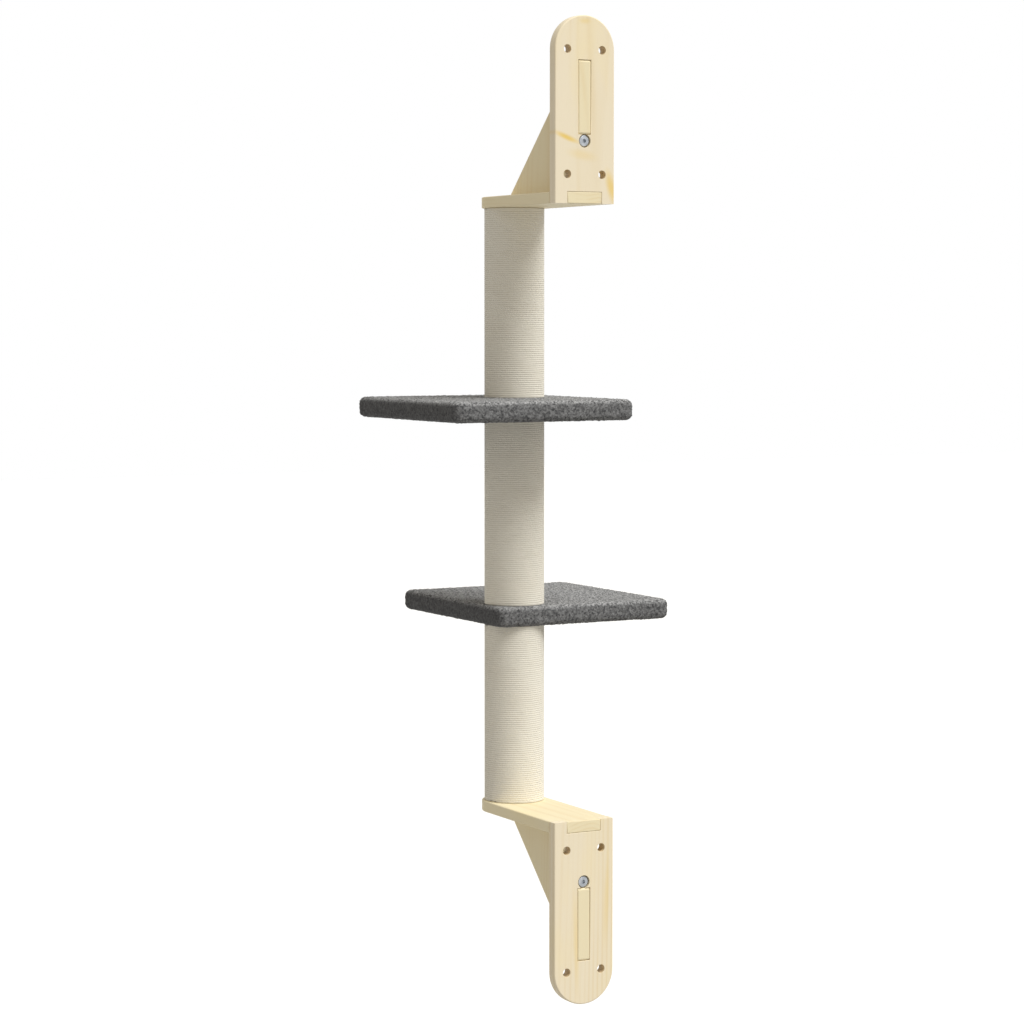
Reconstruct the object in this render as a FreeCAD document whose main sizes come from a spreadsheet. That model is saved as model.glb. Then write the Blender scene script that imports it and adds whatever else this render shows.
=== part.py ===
import FreeCAD, Part
import math
import os
import Sketcher
from FreeCAD import Placement, Rotation, Vector

# Wall mounted cat tree. Two pine brackets are screwed to the wall, one above the
# other and mirror images of each other. A roped post in three lengths stands between
# their shelves, and a carpeted platform is clamped at each of its two joints.
#
# Axes: X to the right as seen from the room, +Y into the wall, +Z up. The wall plane
# is Y = 0. The origin is the centre of the four screw holes of the upper wall plate.
# A bracket is drawn in a frame of its own: Z = 0 on the face of its shelf that the
# post meets, and +Z away from the post.

DOC = FreeCAD.newDocument("wall_cat_tree")

# ---------------------------------------------------------------- driving dimensions

DIMENSIONS = {
    # pine boards
    "board_width": 89.0,
    "board_thick": 15.0,
    # wall plate and its holes, heights from the shelf's post side
    "plate_length": 244.5,
    "wall_hole_span": 52.0,
    "wall_hole_rise": 162.0,
    "wall_hole_low": 38.0,
    "wall_hole_dia": 11.0,
    # shelf and its tenon
    "post_reach": 193.0,
    "shelf_tenon": 50.6,
    "tenon_gap": 0.3,
    "post_hole_dia": 8.5,
    "post_sink_dia": 14.0,
    "post_sink_deep": 6.0,
    # brace and its tenon
    "brace_thick": 18.0,
    "brace_reach": 188.0,
    "brace_toe": 3.0,
    "brace_tenon_low": 90.0,
    "brace_tenon_high": 186.4,
    "brace_tenon_ease": 3.0,
    # bolt that draws the brace to the wall plate
    "brace_bolt_height": 81.5,
    "bolt_shank_dia": 6.0,
    "bolt_hole_dia": 6.6,
    "bolt_head_dia": 12.0,
    "bolt_head_high": 6.0,
    "bolt_length": 30.0,
    "bolt_socket": 5.0,
    "bolt_sink_dia": 17.5,
    "bolt_sink_deep": 7.5,
    # dowels between brace and shelf
    "dowel_dia": 8.0,
    "dowel_long": 28.0,
    "dowel_in_shelf": 9.0,
    "dowel_near": 55.0,
    "dowel_pitch": 60.0,
    # post: rope on a round core, bolts and studs
    "post_dia": 82.0,
    "lower_length": 243.0,
    "middle_length": 256.0,
    "upper_length": 258.0,
    "rope_dia": 2.3,
    "rope_pitch": 2.8,
    "rope_play": 0.02,
    "rope_end_gap": 0.4,
    "thread_dia": 8.0,
    "thread_play": 0.1,
    "thread_depth": 22.0,
    "post_bolt_dia": 13.0,
    "post_bolt_high": 5.0,
    "post_bolt_long": 24.0,
    "stud_grip": 15.0,
    # platforms
    "platform_wide": 270.0,
    "platform_deep": 300.0,
    "platform_thick": 27.0,
    "platform_corner": 12.0,
    "carpet_thick": 4.5,
    "carpet_play": 0.05,
    "platform_hole_dia": 8.2,
    "carpet_hole_dia": 12.0,
    "lower_right": 48.0,
    "lower_back": 48.0,
    "upper_right": 175.0,
    "upper_back": 165.0,
}

CORE_DIA = "dim.post_dia - 2 * dim.rope_dia - dim.rope_play"
ROPE_LOOPS = 2
ROPE_SIDES = 5
LEAST_ROPE_GAP = 0.4

SHEET = DOC.addObject("Spreadsheet::Sheet", "dim")
for row, (alias, size) in enumerate(DIMENSIONS.items(), start=1):
    SHEET.set(f"A{row}", alias)
    SHEET.set(f"B{row}", str(size))
    SHEET.setAlias(f"B{row}", alias)
DOC.recompute()


def value(expression):
    """Size that an expression on the sheet's cells gives now."""
    return float(SHEET.evalExpression(expression))


def bind(thing, **expressions):
    """Tie properties of an object to the sheet."""
    for name, expression in expressions.items():
        thing.setExpression(name, expression)


# ------------------------------------------------------------------ sketch helpers


def new_body(name):
    body = DOC.addObject("PartDesign::Body", name)
    body.Label = name
    return body


def new_sketch(body, plane, lift="0"):
    """Sketch on one of the body's own origin planes, lifted off it along its normal."""
    sketch = body.newObject("Sketcher::SketchObject", f"{body.Name}_sketch")
    datum = next(item for item in body.Origin.OriginFeatures if item.Role == plane)
    sketch.AttachmentSupport = [(datum, "")]
    sketch.MapMode = "FlatFace"
    bind(sketch, **{"AttachmentOffset.Base.z": lift})
    return sketch


def hold(sketch, geometry, end, x, y):
    """Hold one point of a sketch at x, y, each an expression on the sheet."""
    for axis, kind, expression in ((-2, "DistanceX", x), (-1, "DistanceY", y)):
        size = value(expression)
        if expression == "0":
            sketch.addConstraint(Sketcher.Constraint("PointOnObject", geometry, end, axis))
            continue
        index = sketch.addConstraint(Sketcher.Constraint(kind, -1, 1, geometry, end, size))
        name = f"{kind}_{index}"
        sketch.renameConstraint(index, name)
        sketch.setExpression(f"Constraints.{name}", expression)


def draw_polygon(sketch, corners):
    """Closed run of straight lines through corners given as expressions."""
    points = [Vector(value(x), value(y), 0) for x, y in corners]
    first = sketch.GeometryCount
    for start, end in zip(points, points[1:] + points[:1]):
        sketch.addGeometry(Part.LineSegment(start, end))
    for number, corner in enumerate(corners):
        before = first + (number - 1) % len(corners)
        sketch.addConstraint(Sketcher.Constraint("Coincident", before, 2, first + number, 1))
        hold(sketch, first + number, 1, *corner)


def draw_circle(sketch, x, y, diameter):
    centre = Vector(value(x), value(y), 0)
    circle = Part.Circle(centre, Vector(0, 0, 1), value(diameter) / 2)
    index = sketch.addGeometry(circle)
    hold(sketch, index, 3, x, y)
    size = sketch.addConstraint(Sketcher.Constraint("Diameter", index, value(diameter)))
    sketch.renameConstraint(size, f"Diameter_{size}")
    sketch.setExpression(f"Constraints.Diameter_{size}", diameter)


def draw_hexagon(sketch, across_flats):
    """Hexagon about the sketch's origin, with two flats square to the sketch's Y."""
    half = f"{across_flats} / 2"
    side = f"{across_flats} / 2 / cos(30 deg)"
    near = f"{across_flats} / 2 * tan(30 deg)"
    draw_polygon(sketch, [
        (side, "0"), (near, half), (f"-{near}", half),
        (f"-{side}", "0"), (f"-{near}", f"-{half}"), (near, f"-{half}"),
    ])


def draw_round_board(sketch, corners, arc_y):
    """Outline whose last corner is joined to the first by a half circle. Its centre
    is on the sketch's vertical axis, at the height arc_y."""
    points = [Vector(value(x), value(y), 0) for x, y in corners]
    for start, end in zip(points, points[1:]):
        sketch.addGeometry(Part.LineSegment(start, end))
    centre = Vector(0, value(arc_y), 0)
    radius = (points[0] - centre).Length
    outward = (centre - (points[0] + points[1]) / 2).normalize()
    middle = centre + outward * radius
    arc = sketch.addGeometry(Part.Arc(points[-1], middle, points[0]))
    for number, corner in enumerate(corners[1:-1], start=1):
        sketch.addConstraint(Sketcher.Constraint("Coincident", number - 1, 2, number, 1))
        hold(sketch, number, 1, *corner)
    hold(sketch, 0, 1, *corners[0])
    hold(sketch, len(corners) - 2, 2, *corners[-1])
    # An arc is kept the way round that it turns, so its first point may be either end.
    turned = sketch.Geometry[arc].StartPoint.distanceToPoint(points[-1]) > 1e-6
    first, last = (2, 1) if turned else (1, 2)
    sketch.addConstraint(Sketcher.Constraint("Coincident", len(corners) - 2, 2, arc, first))
    sketch.addConstraint(Sketcher.Constraint("Coincident", arc, last, 0, 1))
    height = Sketcher.Constraint("DistanceY", -1, 1, arc, 3, centre.y)
    index = sketch.addConstraint(height)
    sketch.renameConstraint(index, "arc_height")
    sketch.setExpression("Constraints.arc_height", arc_y)


# ------------------------------------------------------------------ feature helpers


def pad(body, sketch, length, midplane=False):
    feature = body.newObject("PartDesign::Pad", f"{body.Name}_pad")
    feature.Profile = sketch
    feature.Midplane = midplane
    bind(feature, Length=length)
    sketch.Visibility = False
    DOC.recompute()
    return feature


def pocket(body, sketch, depth, reverse=False):
    """Cut of a set depth against the sketch's normal, or along it when reversed."""
    before = body.Shape.Volume
    feature = body.newObject("PartDesign::Pocket", f"{body.Name}_pocket")
    feature.Profile = sketch
    feature.Reversed = reverse
    bind(feature, Length=depth)
    sketch.Visibility = False
    DOC.recompute()
    if not body.Shape.Volume < before:
        raise RuntimeError(f"a pocket of {body.Label} cuts nothing")
    return feature


def revolve(body, sketch):
    """Full turn of a half section about the sketch's vertical axis."""
    feature = body.newObject("PartDesign::Revolution", f"{body.Name}_turn")
    feature.Profile = sketch
    feature.ReferenceAxis = (sketch, ["V_Axis"])
    feature.Angle = 360
    sketch.Visibility = False
    DOC.recompute()
    return feature


def dress(body, kind, size, wanted):
    """Fillet or chamfer every edge of the body's last feature that wanted accepts."""
    base = body.Tip
    names = []
    for number, edge in enumerate(base.Shape.Edges, start=1):
        if wanted(edge):
            names.append(f"Edge{number}")
    if not names:
        raise RuntimeError(f"no edge of {body.Label} to dress")
    feature = body.newObject(f"PartDesign::{kind}", f"{body.Name}_{kind.lower()}")
    feature.Base = (base, names)
    property_name = "Radius" if kind == "Fillet" else "Size"
    bind(feature, **{property_name: size})
    DOC.recompute()
    return feature


SUB_PARTS = []


def place(thing, placement):
    """Keep an object as a sub-part of the tree, at its place."""
    thing.Placement = placement
    SUB_PARTS.append(thing)


# ------------------------------------------------------------------------- brackets


def make_wall_plate(name, placement):
    """Upright board against the wall: round far end, slot for the brace's tenon,
    notch for the shelf's tenon, four screw holes and the sunk seat of the bolt."""
    body = new_body(name)
    half = "dim.board_width / 2"
    notch = "dim.shelf_tenon / 2 + dim.tenon_gap"
    notch_high = "dim.board_thick + dim.tenon_gap"
    shoulder = "dim.plate_length - dim.board_width / 2"
    outline = new_sketch(body, "XZ_Plane")
    draw_round_board(outline, [
        (f"-({half})", shoulder), (f"-({half})", "0"), (f"-({notch})", "0"),
        (f"-({notch})", notch_high), (notch, notch_high), (notch, "0"),
        (half, "0"), (half, shoulder),
    ], shoulder)
    pad(body, outline, "dim.board_thick")

    slot = new_sketch(body, "XZ_Plane")
    slot_half = "dim.brace_thick / 2 + dim.tenon_gap"
    slot_low = "dim.brace_tenon_low - dim.tenon_gap"
    slot_high = "dim.brace_tenon_high + dim.tenon_gap"
    draw_polygon(slot, [
        (f"-({slot_half})", slot_low), (slot_half, slot_low),
        (slot_half, slot_high), (f"-({slot_half})", slot_high),
    ])
    pocket(body, slot, "dim.board_thick", reverse=True)

    seat = new_sketch(body, "XZ_Plane")
    draw_circle(seat, "0", "dim.brace_bolt_height", "dim.bolt_sink_dia")
    pocket(body, seat, "dim.bolt_sink_deep", reverse=True)
    way = new_sketch(body, "XZ_Plane")
    draw_circle(way, "0", "dim.brace_bolt_height", "dim.bolt_hole_dia")
    pocket(body, way, "dim.board_thick", reverse=True)

    holes = new_sketch(body, "XZ_Plane")
    for side in ("-", ""):
        for rise in ("0 * dim.wall_hole_rise", "dim.wall_hole_rise"):
            draw_circle(holes, f"{side}dim.wall_hole_span / 2",
                        f"dim.wall_hole_low + {rise}", "dim.wall_hole_dia")
    pocket(body, holes, "dim.board_thick", reverse=True)
    place(body, placement)


def make_shelf(name, placement):
    """Board that carries the post: round end about the post, tenon into the wall
    plate, sunk hole for the post bolt and two blind holes for the brace's dowels."""
    body = new_body(name)
    half = "dim.board_width / 2"
    tenon = "dim.shelf_tenon / 2"
    outline = new_sketch(body, "XY_Plane")
    draw_round_board(outline, [
        (half, "-dim.post_reach"), (half, "-dim.board_thick"), (tenon, "-dim.board_thick"),
        (tenon, "0"), (f"-{tenon}", "0"), (f"-{tenon}", "-dim.board_thick"),
        (f"-{half}", "-dim.board_thick"), (f"-{half}", "-dim.post_reach"),
    ], "-dim.post_reach")
    pad(body, outline, "dim.board_thick")

    dowels = new_sketch(body, "XY_Plane", "dim.board_thick")
    for step in ("0", "dim.dowel_pitch"):
        draw_circle(dowels, "0", f"-dim.dowel_near - {step}", "dim.dowel_dia + dim.thread_play")
    pocket(body, dowels, "dim.dowel_in_shelf + dim.tenon_gap")

    middle = new_sketch(body, "XY_Plane", "dim.board_thick")
    draw_circle(middle, "0", "-dim.post_reach", "dim.post_hole_dia")
    pocket(body, middle, "dim.board_thick")
    seat = new_sketch(body, "XY_Plane", "dim.board_thick")
    draw_circle(seat, "0", "-dim.post_reach", "dim.post_sink_dia")
    pocket(body, seat, "dim.post_sink_deep")
    place(body, placement)


def make_brace(name, placement):
    """Three-cornered board on edge between shelf and wall plate, with a long tenon
    through the plate, a hole for its bolt and two for the dowels."""
    body = new_body(name)
    outline = new_sketch(body, "YZ_Plane")
    draw_polygon(outline, [
        ("-dim.brace_reach", "dim.board_thick"),
        ("-dim.board_thick", "dim.board_thick"),
        ("-dim.board_thick", "dim.brace_tenon_low"),
        ("0", "dim.brace_tenon_low"),
        ("0", "dim.brace_tenon_high"),
        ("-dim.board_thick", "dim.brace_tenon_high"),
        ("-dim.brace_reach", "dim.board_thick + dim.brace_toe"),
    ])
    pad(body, outline, "dim.brace_thick", midplane=True)
    dress(body, "Fillet", "dim.brace_tenon_ease", lambda edge: (
        abs(edge.BoundBox.Center.y) < 0.01 and edge.BoundBox.XLength > 1))

    way = new_sketch(body, "XZ_Plane", "dim.board_thick")
    draw_circle(way, "0", "dim.brace_bolt_height", "dim.bolt_shank_dia + dim.thread_play")
    pocket(body, way, "dim.bolt_length - dim.board_thick + dim.bolt_sink_deep", reverse=True)

    dowels = new_sketch(body, "XY_Plane", "dim.board_thick")
    for step in ("0", "dim.dowel_pitch"):
        draw_circle(dowels, "0", f"-dim.dowel_near - {step}", "dim.dowel_dia + dim.thread_play")
    pocket(body, dowels, "dim.dowel_long - dim.dowel_in_shelf + dim.tenon_gap", reverse=True)
    place(body, placement)


def turn(name, section, placement):
    """Round piece turned about Z from a half section of (radius, height) corners."""
    body = new_body(name)
    sketch = new_sketch(body, "XZ_Plane")
    draw_polygon(sketch, section)
    revolve(body, sketch)
    if placement is not None:
        place(body, placement)
    return body


def make_bolt(name, shank, length, head, head_high, placement):
    """Cap bolt with a hexagon socket. Its own +Z is the way it is driven out, and
    Z = 0 is under the head."""
    body = turn(name, [
        ("0", f"-{length}"), (f"{shank} / 2", f"-{length}"), (f"{shank} / 2", "0"),
        (f"{head} / 2", "0"), (f"{head} / 2", head_high), ("0", head_high),
    ], None)
    socket = new_sketch(body, "XY_Plane", head_high)
    draw_hexagon(socket, "dim.bolt_socket")
    pocket(body, socket, f"{head_high} / 2")
    place(body, placement)


def make_brace_dowels(name, placement):
    """Two beech dowels, half in the shelf and half in the brace, kept as one group."""
    dowels = []
    for number, step in enumerate(("0", "dim.dowel_pitch"), start=1):
        pin = DOC.addObject("Part::Cylinder", f"{name}_{number}")
        bind(pin, Radius="dim.dowel_dia / 2", Height="dim.dowel_long")
        bind(pin, **{
            "Placement.Base.y": f"-dim.dowel_near - {step}",
            "Placement.Base.z": "dim.board_thick - dim.dowel_in_shelf",
        })
        dowels.append(pin)
    group = DOC.addObject("Part::Compound", name)
    group.Label = name
    group.Links = dowels
    DOC.recompute()
    place(group, placement)


def make_bracket(side, bracket):
    """All the pieces of one bracket. bracket carries its frame to the tree's."""
    make_wall_plate(f"{side}_wall_plate", bracket)
    make_shelf(f"{side}_shelf", bracket)
    make_brace(f"{side}_brace", bracket)
    make_brace_dowels(f"{side}_brace_dowels", bracket)
    seat = Vector(0, -value("dim.bolt_sink_deep"), value("dim.brace_bolt_height"))
    to_wall = Rotation(Vector(1, 0, 0), -90)
    make_bolt(f"{side}_brace_bolt", "dim.bolt_shank_dia", "dim.bolt_length",
              "dim.bolt_head_dia", "dim.bolt_head_high", bracket * Placement(seat, to_wall))
    floor = value("dim.board_thick - dim.post_sink_deep")
    seat = Vector(0, -value("dim.post_reach"), floor)
    make_bolt(f"{side}_post_bolt", "dim.thread_dia", "dim.post_bolt_long",
              "dim.post_bolt_dia", "dim.post_bolt_high", bracket * Placement(seat, Rotation()))


# ----------------------------------------------------------------------------- post


def biarc(start, start_way, end, end_way):
    """Two arcs that leave start and reach end along the given unit directions."""
    chord = end - start
    bend = 1 - start_way.dot(end_way)
    along = chord.dot(start_way + end_way)
    reach = (math.sqrt(along ** 2 + 2 * bend * chord.dot(chord)) - along) / (2 * bend)
    first_knee = start + start_way * reach
    second_knee = end - end_way * reach
    joint = (first_knee + second_knee) / 2
    arcs = []
    for begin, knee, finish in ((start, first_knee, joint), (joint, second_knee, end)):
        inward = (begin + finish) / 2 - knee
        half_turn = math.asin(inward.Length / reach)
        # The arc's own middle lies on the line from the knee to the chord's middle.
        radius = reach / math.tan(half_turn)
        middle = knee + inward.normalize() * (radius / math.cos(half_turn) - radius)
        arcs.append(Part.Arc(begin, middle, finish).toShape())
    return arcs


def helix_point(radius, pitch, angle, rise):
    return Vector(radius * math.cos(angle), radius * math.sin(angle),
                  rise + pitch * angle / (2 * math.pi))


def helix_way(radius, pitch, angle):
    way = Vector(-radius * math.sin(angle), radius * math.cos(angle), pitch / (2 * math.pi))
    return way.normalize()


def draw_strand(centre, side, up, strand):
    """Section of the rope, a polygon whose corners lie on its round outline."""
    corners = []
    for number in range(ROPE_SIDES):
        angle = 2 * math.pi * number / ROPE_SIDES
        corners.append(centre + (side * math.cos(angle) + up * math.sin(angle)) * strand / 2)
    return Part.makePolygon(corners + corners[:1])


def make_winding(radius, pitch, strand, rise):
    """One unbroken strand of rope: quarter turns, each a pair of arcs, up a helix.
    Both ends run straight for one diameter and are cut square."""
    quarter = math.pi / 2
    start = helix_point(radius, pitch, 0, rise)
    first_way = helix_way(radius, pitch, 0)
    edges = [Part.LineSegment(start - first_way * strand, start).toShape()]
    for step in range(4 * ROPE_LOOPS):
        angle = step * quarter
        edges += biarc(
            helix_point(radius, pitch, angle, rise), helix_way(radius, pitch, angle),
            helix_point(radius, pitch, angle + quarter, rise), helix_way(radius, pitch, angle + quarter))
    last = 4 * ROPE_LOOPS * quarter
    end = helix_point(radius, pitch, last, rise)
    end_way = helix_way(radius, pitch, last)
    edges.append(Part.LineSegment(end, end + end_way * strand).toShape())
    path = Part.Wire(edges)
    side = first_way.cross(Vector(0, 0, 1)).normalize()
    mouth = draw_strand(start - first_way * strand, side, side.cross(first_way), strand)
    return path, path.makePipeShell([mouth], True, False)


def least_gap(path, strand, pitch):
    """Least distance between surfaces of a tube that winds beside itself, measured
    on points: those less than half a turn apart along the path are neighbours."""
    points = path.discretize(Number=90 * ROPE_LOOPS)
    half_turn = 45
    least = min(
        points[i].distanceToPoint(points[j])
        for i in range(len(points))
        for j in range(i + half_turn, len(points)))
    return least - strand


def make_rope(name, length, placement):
    """Rope of one length of post. Its first turns are wound as one unbroken strand,
    and the turns above them, finer than the model goes, are a plain sleeve."""
    crest = value("dim.post_dia / 2")
    strand = value("dim.rope_dia")
    pitch = value("dim.rope_pitch")
    gap = value("dim.rope_end_gap")
    low = gap + strand / 2
    path, winding = make_winding(crest - strand / 2, pitch, strand, low)
    free = least_gap(path, strand, pitch)
    print(f"{name}: {ROPE_LOOPS} loops, least gap {free:.3f} mm")
    if free < LEAST_ROPE_GAP:
        raise RuntimeError(f"{name}: the turns are too close")
    sleeve_low = low + pitch * ROPE_LOOPS + strand
    high = value(length) - gap - sleeve_low
    foot = Vector(0, 0, sleeve_low)
    sleeve = Part.makeCylinder(crest, high, foot)
    sleeve = sleeve.cut(Part.makeCylinder(crest - strand, high, foot))
    rope = DOC.addObject("Part::Feature", name)
    rope.Label = name
    rope.Shape = Part.makeCompound([sleeve, winding])
    place(rope, placement)


def make_core(name, length, placement):
    """Round core under the rope, with a threaded bore in the middle of each end."""
    rim = f"({CORE_DIA}) / 2"
    bore = "dim.thread_dia / 2 + dim.thread_play"
    top = f"{length} - dim.thread_depth"
    turn(name, [
        (bore, "0"), (rim, "0"), (rim, length), (bore, length),
        (bore, top), ("0", top), ("0", "dim.thread_depth"), (bore, "dim.thread_depth"),
    ], placement)


def make_stud(name, placement):
    """Threaded stud through a platform, Z = 0 at its middle."""
    half = "dim.platform_thick / 2 + dim.stud_grip"
    wall = "dim.thread_dia / 2"
    turn(name, [("0", f"-({half})"), (wall, f"-({half})"), (wall, half), ("0", half)], placement)


def make_section(side, length, foot):
    """One length of post, its foot at the given height on the post's axis."""
    at_foot = Placement(Vector(0, -value("dim.post_reach"), foot), Rotation())
    make_core(f"{side}_post_core", length, at_foot)
    make_rope(f"{side}_post_rope", length, at_foot)
    return foot + value(length)


# ------------------------------------------------------------------------ platforms


def make_block(name, right, back, shrink, corner):
    """Slab with round corners about the post's axis: right and back are how far it
    reaches to +X and +Y, shrink is taken off it all round, and Z = 0 is at the middle
    of its height."""
    body = new_body(name)
    outline = new_sketch(body, "XY_Plane", f"{shrink} - dim.platform_thick / 2")
    east = f"{right} - ({shrink})"
    west = f"{right} - dim.platform_wide + ({shrink})"
    north = f"{back} - ({shrink})"
    south = f"{back} - dim.platform_deep + ({shrink})"
    draw_polygon(outline, [(west, south), (east, south), (east, north), (west, north)])
    pad(body, outline, f"dim.platform_thick - 2 * ({shrink})")
    dress(body, "Fillet", corner, lambda edge: (
        edge.BoundBox.XLength < 0.1 and edge.BoundBox.YLength < 0.1))
    return body


def make_platform(side, right, back, placement):
    """Board with a hole for its stud, in a carpet cover that goes all round it."""
    board = make_block(f"{side}_platform_board", right, back, "dim.carpet_thick",
                       "dim.platform_corner - dim.carpet_thick")
    bore = new_sketch(board, "XY_Plane", "dim.platform_thick / 2")
    draw_circle(bore, "0", "0", "dim.platform_hole_dia")
    pocket(board, bore, "dim.platform_thick")
    place(board, placement)

    outside = make_block(f"{side}_carpet_outside", right, back, "0 * dim.carpet_thick",
                         "dim.platform_corner")
    inside = make_block(f"{side}_carpet_inside", right, back, "dim.carpet_thick - dim.carpet_play",
                        "dim.platform_corner - dim.carpet_thick")
    hole = DOC.addObject("Part::Cylinder", f"{side}_carpet_hole")
    bind(hole, Radius="dim.carpet_hole_dia / 2", Height="2 * dim.platform_thick")
    bind(hole, **{"Placement.Base.z": "-dim.platform_thick"})
    hollow = DOC.addObject("Part::Cut", f"{side}_carpet_hollow")
    hollow.Base = outside
    hollow.Tool = inside
    carpet = DOC.addObject("Part::Cut", f"{side}_platform_carpet")
    carpet.Base = hollow
    carpet.Tool = hole
    carpet.Label = f"{side}_platform_carpet"
    DOC.recompute()
    place(carpet, placement)


# ------------------------------------------------------------------------- assembly


def build():
    """Upper bracket first, then the post from its foot up, with its platforms."""
    pattern = value("dim.wall_hole_low + dim.wall_hole_rise / 2")
    thick = value("dim.platform_thick")
    lengths = value("dim.lower_length + dim.middle_length + dim.upper_length")
    top = -pattern
    foot = top - lengths - 2 * thick
    make_bracket("upper", Placement(Vector(0, 0, top), Rotation()))
    make_bracket("lower", Placement(Vector(0, 0, foot), Rotation(Vector(0, 1, 0), 180)))
    height = make_section("lower", "dim.lower_length", foot)
    for side, above in (("lower", "middle"), ("upper", "upper")):
        centre = Vector(0, -value("dim.post_reach"), height + thick / 2)
        at_joint = Placement(centre, Rotation())
        make_platform(side, f"dim.{side}_right", f"dim.{side}_back", at_joint)
        make_stud(f"{side}_platform_stud", at_joint)
        height = make_section(above, f"dim.{above}_length", height + thick)
    if abs(height - top) > 1e-6:
        raise RuntimeError("the post does not reach the upper shelf")


def check():
    """Stop before anything is written if an object failed or a shape is bad."""
    DOC.recompute()
    for thing in DOC.Objects:
        if "Invalid" in thing.State or "Error" in thing.State:
            raise RuntimeError(f"{thing.Label} failed: {thing.State}")
    for thing in SUB_PARTS:
        if thing.Shape.isNull() or not thing.Shape.isValid() or thing.Shape.Volume <= 0:
            raise RuntimeError(f"{thing.Label} has no valid shape")


def write():
    os.makedirs("parts", exist_ok=True)
    for thing in SUB_PARTS:
        thing.Shape.exportStep(f"parts/{thing.Label}.step")
        box = thing.Shape.BoundBox
        print(f"{thing.Label}: {len(thing.Shape.Solids)} solid, {thing.Shape.Volume / 1000:.1f} cm3, "
              f"X {box.XMin:.1f} {box.XMax:.1f} Y {box.YMin:.1f} {box.YMax:.1f} "
              f"Z {box.ZMin:.1f} {box.ZMax:.1f}")


build()
check()
write()
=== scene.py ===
import math

import bmesh
import bpy
from mathutils import Matrix, Vector


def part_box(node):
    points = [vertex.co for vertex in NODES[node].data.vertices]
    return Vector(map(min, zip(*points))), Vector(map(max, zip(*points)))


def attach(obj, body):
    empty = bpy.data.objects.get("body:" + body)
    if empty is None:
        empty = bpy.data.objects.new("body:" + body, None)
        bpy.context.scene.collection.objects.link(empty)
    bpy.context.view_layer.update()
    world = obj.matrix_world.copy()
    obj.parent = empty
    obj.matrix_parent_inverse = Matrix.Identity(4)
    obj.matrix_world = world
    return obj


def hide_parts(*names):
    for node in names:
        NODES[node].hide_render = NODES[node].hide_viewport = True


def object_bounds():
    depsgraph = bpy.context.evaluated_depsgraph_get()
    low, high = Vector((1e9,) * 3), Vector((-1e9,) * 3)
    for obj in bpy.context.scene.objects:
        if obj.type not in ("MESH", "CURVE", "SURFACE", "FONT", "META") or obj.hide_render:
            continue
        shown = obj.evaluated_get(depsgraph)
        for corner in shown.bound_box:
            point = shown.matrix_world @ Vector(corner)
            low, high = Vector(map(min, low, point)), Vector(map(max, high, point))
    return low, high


bl_info = {
    "name": "Wall mounted cat tree",
    "version": (1, 0, 0),
    "blender": (4, 5, 0),
    "location": "3D View > Sidebar > Cat tree",
    "description": "Pine brackets, a rope-wound post and carpeted platforms built on the packed frame",
    "category": "Object",
}

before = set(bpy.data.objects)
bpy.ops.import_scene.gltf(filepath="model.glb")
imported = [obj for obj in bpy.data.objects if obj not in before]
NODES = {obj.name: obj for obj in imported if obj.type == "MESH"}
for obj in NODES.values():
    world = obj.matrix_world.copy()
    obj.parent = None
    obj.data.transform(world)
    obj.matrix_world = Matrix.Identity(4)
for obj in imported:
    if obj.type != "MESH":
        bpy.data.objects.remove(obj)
CAD_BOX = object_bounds()

SIDES = ("upper", "lower")
SECTIONS = ("lower", "middle", "upper")
ROOT = "post_and_brackets"
MM = 0.001

# Two points this close lie at one level, and on one straight or round outline.
SAME_LEVEL = 0.02 * MM
SAME_LINE = 0.05 * MM
SAME_ARC = 0.2 * MM

# Edges that turn by more than FLAT are sharp ones, to round and in the shading.
# Faces larger than BROAD are shaded flat. RIBBED keeps rope and pile smooth over
# their small dips.
FLAT = math.radians(30)
RIBBED = math.radians(80)
BROAD = 200 * MM * MM

# Sizes that the frame gives.
PLATE_LOW, PLATE_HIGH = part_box("upper_wall_plate")
BOARD_HALF = (PLATE_HIGH.x - PLATE_LOW.x) / 2
BOARD_THICK = PLATE_HIGH.y - PLATE_LOW.y
POST_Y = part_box("upper_shelf")[0].y + BOARD_HALF
ROPE_CREST = POST_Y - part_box("middle_post_rope")[0].y
CORE_RADIUS = POST_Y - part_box("middle_post_core")[0].y

# Screw holes, each so far from the middle of its plate's four.
HOLE_ACROSS = 26 * MM
HOLE_ABOVE = 81 * MM
HOLE_RADIUS = 5.5 * MM


# ------------------------------------------------------------------------ selection


def deselect_all():
    """Leave edit mode if it is open, and select nothing."""
    if bpy.context.object and bpy.context.object.mode != "OBJECT":
        bpy.ops.object.mode_set(mode="OBJECT")
    bpy.ops.object.select_all(action="DESELECT")


def activate(thing):
    deselect_all()
    thing.select_set(True)
    bpy.context.view_layer.objects.active = thing


def edit(thing):
    """Open an object in edit mode with nothing selected, and give its mesh."""
    activate(thing)
    bpy.ops.object.mode_set(mode="EDIT")
    bpy.ops.mesh.select_mode(type="EDGE")
    bpy.ops.mesh.select_all(action="DESELECT")
    return bmesh.from_edit_mesh(thing.data)


def close_edit(thing):
    bmesh.update_edit_mesh(thing.data)
    bpy.ops.object.mode_set(mode="OBJECT")


def select_edges(mesh, wanted):
    """Select the sharp edges that wanted accepts by their two ends."""
    for edge in mesh.edges:
        sharp = len(edge.link_faces) == 2 and edge.calc_face_angle(0) > FLAT
        edge.select_set(sharp and wanted(edge.verts[0].co, edge.verts[1].co))
    mesh.select_flush_mode()


def ease_edges(thing, width, segments, wanted, clamp=True):
    """Round the sharp edges that wanted accepts."""
    mesh = edit(thing)
    select_edges(mesh, wanted)
    bmesh.update_edit_mesh(thing.data)
    bpy.ops.mesh.bevel(offset=width, segments=segments, affect="EDGES", clamp_overlap=clamp)
    close_edit(thing)


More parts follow.
